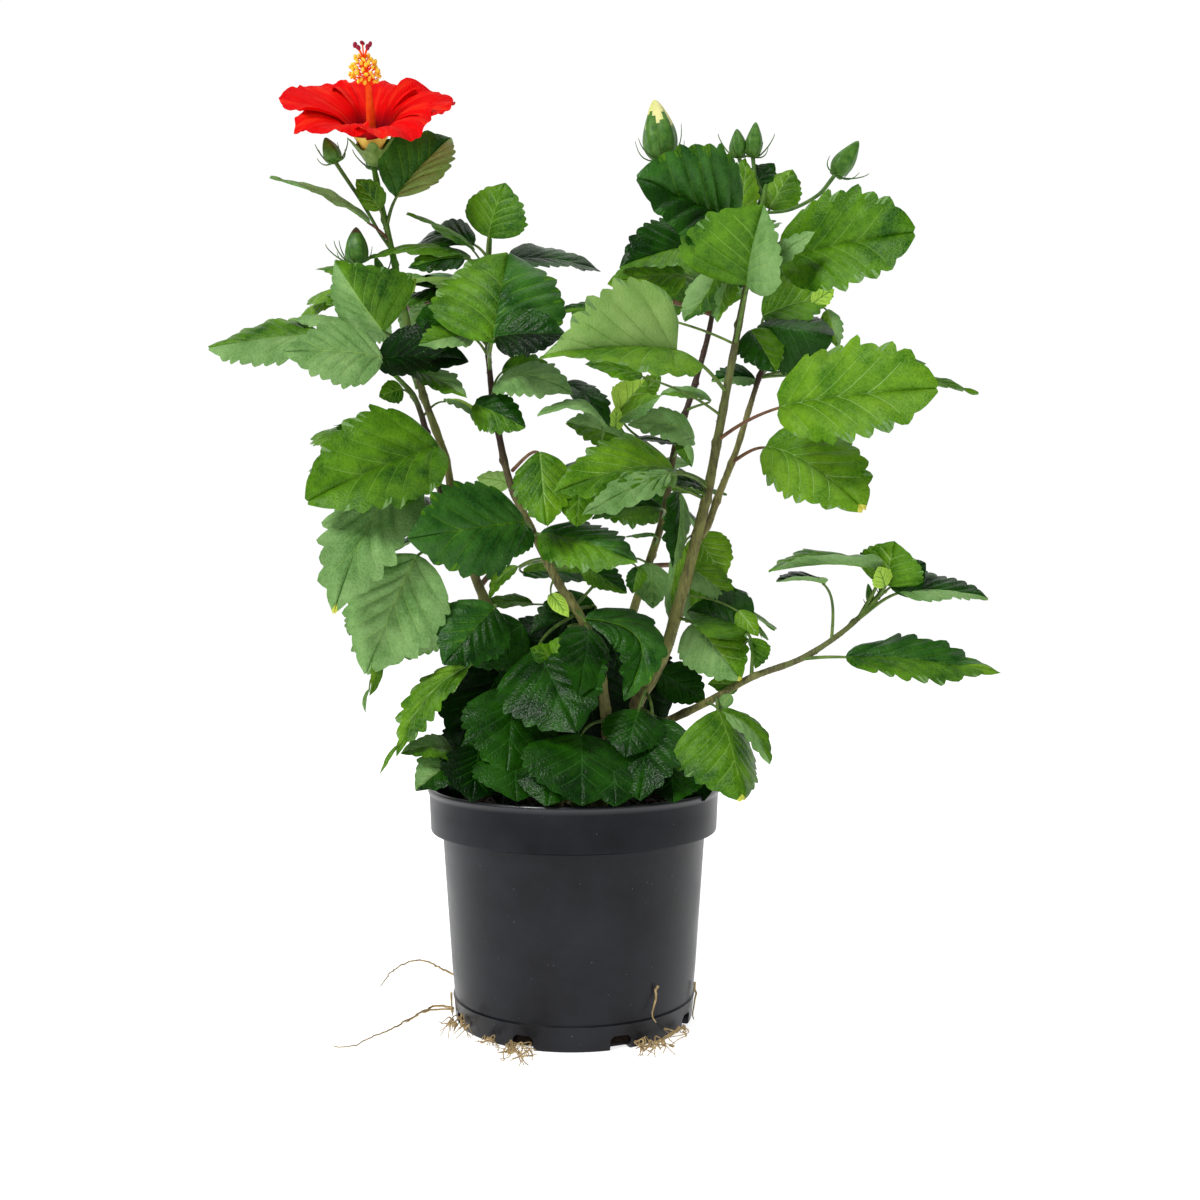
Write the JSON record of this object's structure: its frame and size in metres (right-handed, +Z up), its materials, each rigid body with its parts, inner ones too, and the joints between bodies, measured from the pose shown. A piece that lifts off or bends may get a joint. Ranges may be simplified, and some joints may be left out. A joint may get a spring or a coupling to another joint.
{
  "type": "potted hibiscus shrub",
  "caption": "Young hibiscus shrub in a round black nursery pot, with upright woody stems, broad toothed leaves, buds and an open red flower.",
  "frame": {"origin": "centre of the pot's flat underside", "axes": "+Z up along the pot's axis, +X to the right and -Y towards the plant's front, where the flower looks"},
  "size_m": [0.4557, 0.2623, 0.5516],
  "materials": {
    "pot_plastic": "satin black moulded plastic with a glossier rolled lip",
    "compost": "dark crumbly potting compost",
    "bark": "tan to olive-brown young bark, green at the tips",
    "leaf": "glossy mid green above, paler and matt below",
    "petal": "thin satin red petal with a dark throat"
  },
  "bodies": {
    "root": {"bloom": "petal", "branch_flower": "bark", "branch_low": "bark", "branch_right": "bark", "foliage_base_centre": "leaf", "foliage_base_left": "leaf", "foliage_base_right": "leaf", "foliage_bloom_shoot": "leaf", "foliage_branch_lower": "leaf", "foliage_branch_upper": "leaf", "foliage_centre": "leaf", "foliage_centre_high": "leaf", "foliage_centre_low": "leaf", "foliage_inner_right": "leaf", "foliage_left_front": "leaf", "foliage_left_hanging": "leaf", "foliage_left_low": "leaf", "foliage_left_reach": "leaf", "foliage_left_shoulder": "leaf", "foliage_left_spur": "leaf", "foliage_left_top": "leaf", "foliage_middle_left": "leaf", "foliage_middle_low": "leaf", "foliage_middle_tip": "leaf", "foliage_middle_top": "leaf", "foliage_middle_wing": "leaf", "foliage_pot_edge": "leaf", "foliage_pot_front": "leaf", "foliage_pot_left": "leaf", "foliage_pot_right": "leaf", "foliage_rear_crest_left": "leaf", "foliage_rear_left": "leaf", "foliage_rear_low": "leaf", "foliage_rear_low_left": "leaf", "foliage_rear_mid": "leaf", "foliage_rear_right": "leaf", "foliage_rear_shoulder_left": "leaf", "foliage_rear_side_right": "leaf", "foliage_rear_top_left": "leaf", "foliage_rear_top_right": "leaf", "foliage_right_crest": "leaf", "foliage_right_crown": "leaf", "foliage_right_low": "leaf", "foliage_right_lower": "leaf", "foliage_right_mid": "leaf", "foliage_right_pale": "leaf", "foliage_right_shoulder": "leaf", "foliage_right_side": "leaf", "foliage_right_top": "leaf", "foliage_waist": "leaf", "pot": "pot_plastic", "soil": "compost", "stem_left": "bark", "stem_middle": "bark", "stem_rear": "bark", "stem_rear_right": "bark", "stem_right": "bark"}
  },
  "joints": []
}
